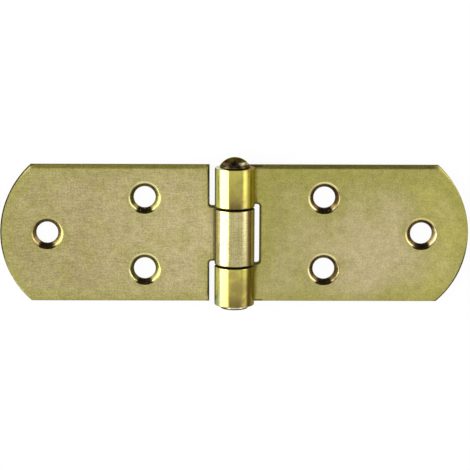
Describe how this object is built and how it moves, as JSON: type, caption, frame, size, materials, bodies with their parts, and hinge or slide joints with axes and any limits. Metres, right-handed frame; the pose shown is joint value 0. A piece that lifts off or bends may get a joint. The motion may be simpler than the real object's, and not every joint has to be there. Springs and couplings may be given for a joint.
{
  "type": "fixed-pin table hinge",
  "caption": "Table hinge of rolled sheet steel: flat leaves with round ends and countersunk screw holes, which swing on a riveted pin.",
  "frame": {"origin": "under the middle of the pin, on the plane of the leaves' backs, with the hinge open flat", "axes": "+X from tip to tip, towards the leaf with the outer knuckles; +Y along the pin, towards its domed head; +Z out of the front, on the side of the barrel and the countersinks"},
  "size_m": [0.12, 0.0394, 0.0102],
  "materials": {
    "leaf_plating": "steel sheet, zinc plated and yellow passivated, satin",
    "pin_plating": "steel, zinc plated and yellow passivated, semi-bright"
  },
  "bodies": {
    "outer_leaf_with_pin": {"outer_knuckle_leaf": "leaf_plating", "hinge_pin": "pin_plating"},
    "middle_leaf": {"middle_knuckle_leaf": "leaf_plating"}
  },
  "joints": [
    {"name": "leaf_swing", "type": "hinge", "parent": "outer_leaf_with_pin", "child": "middle_leaf", "pos_m": [0, 0, 0.0051], "axis": [0, 1, 0], "range_deg": [-100, 185]}
  ]
}
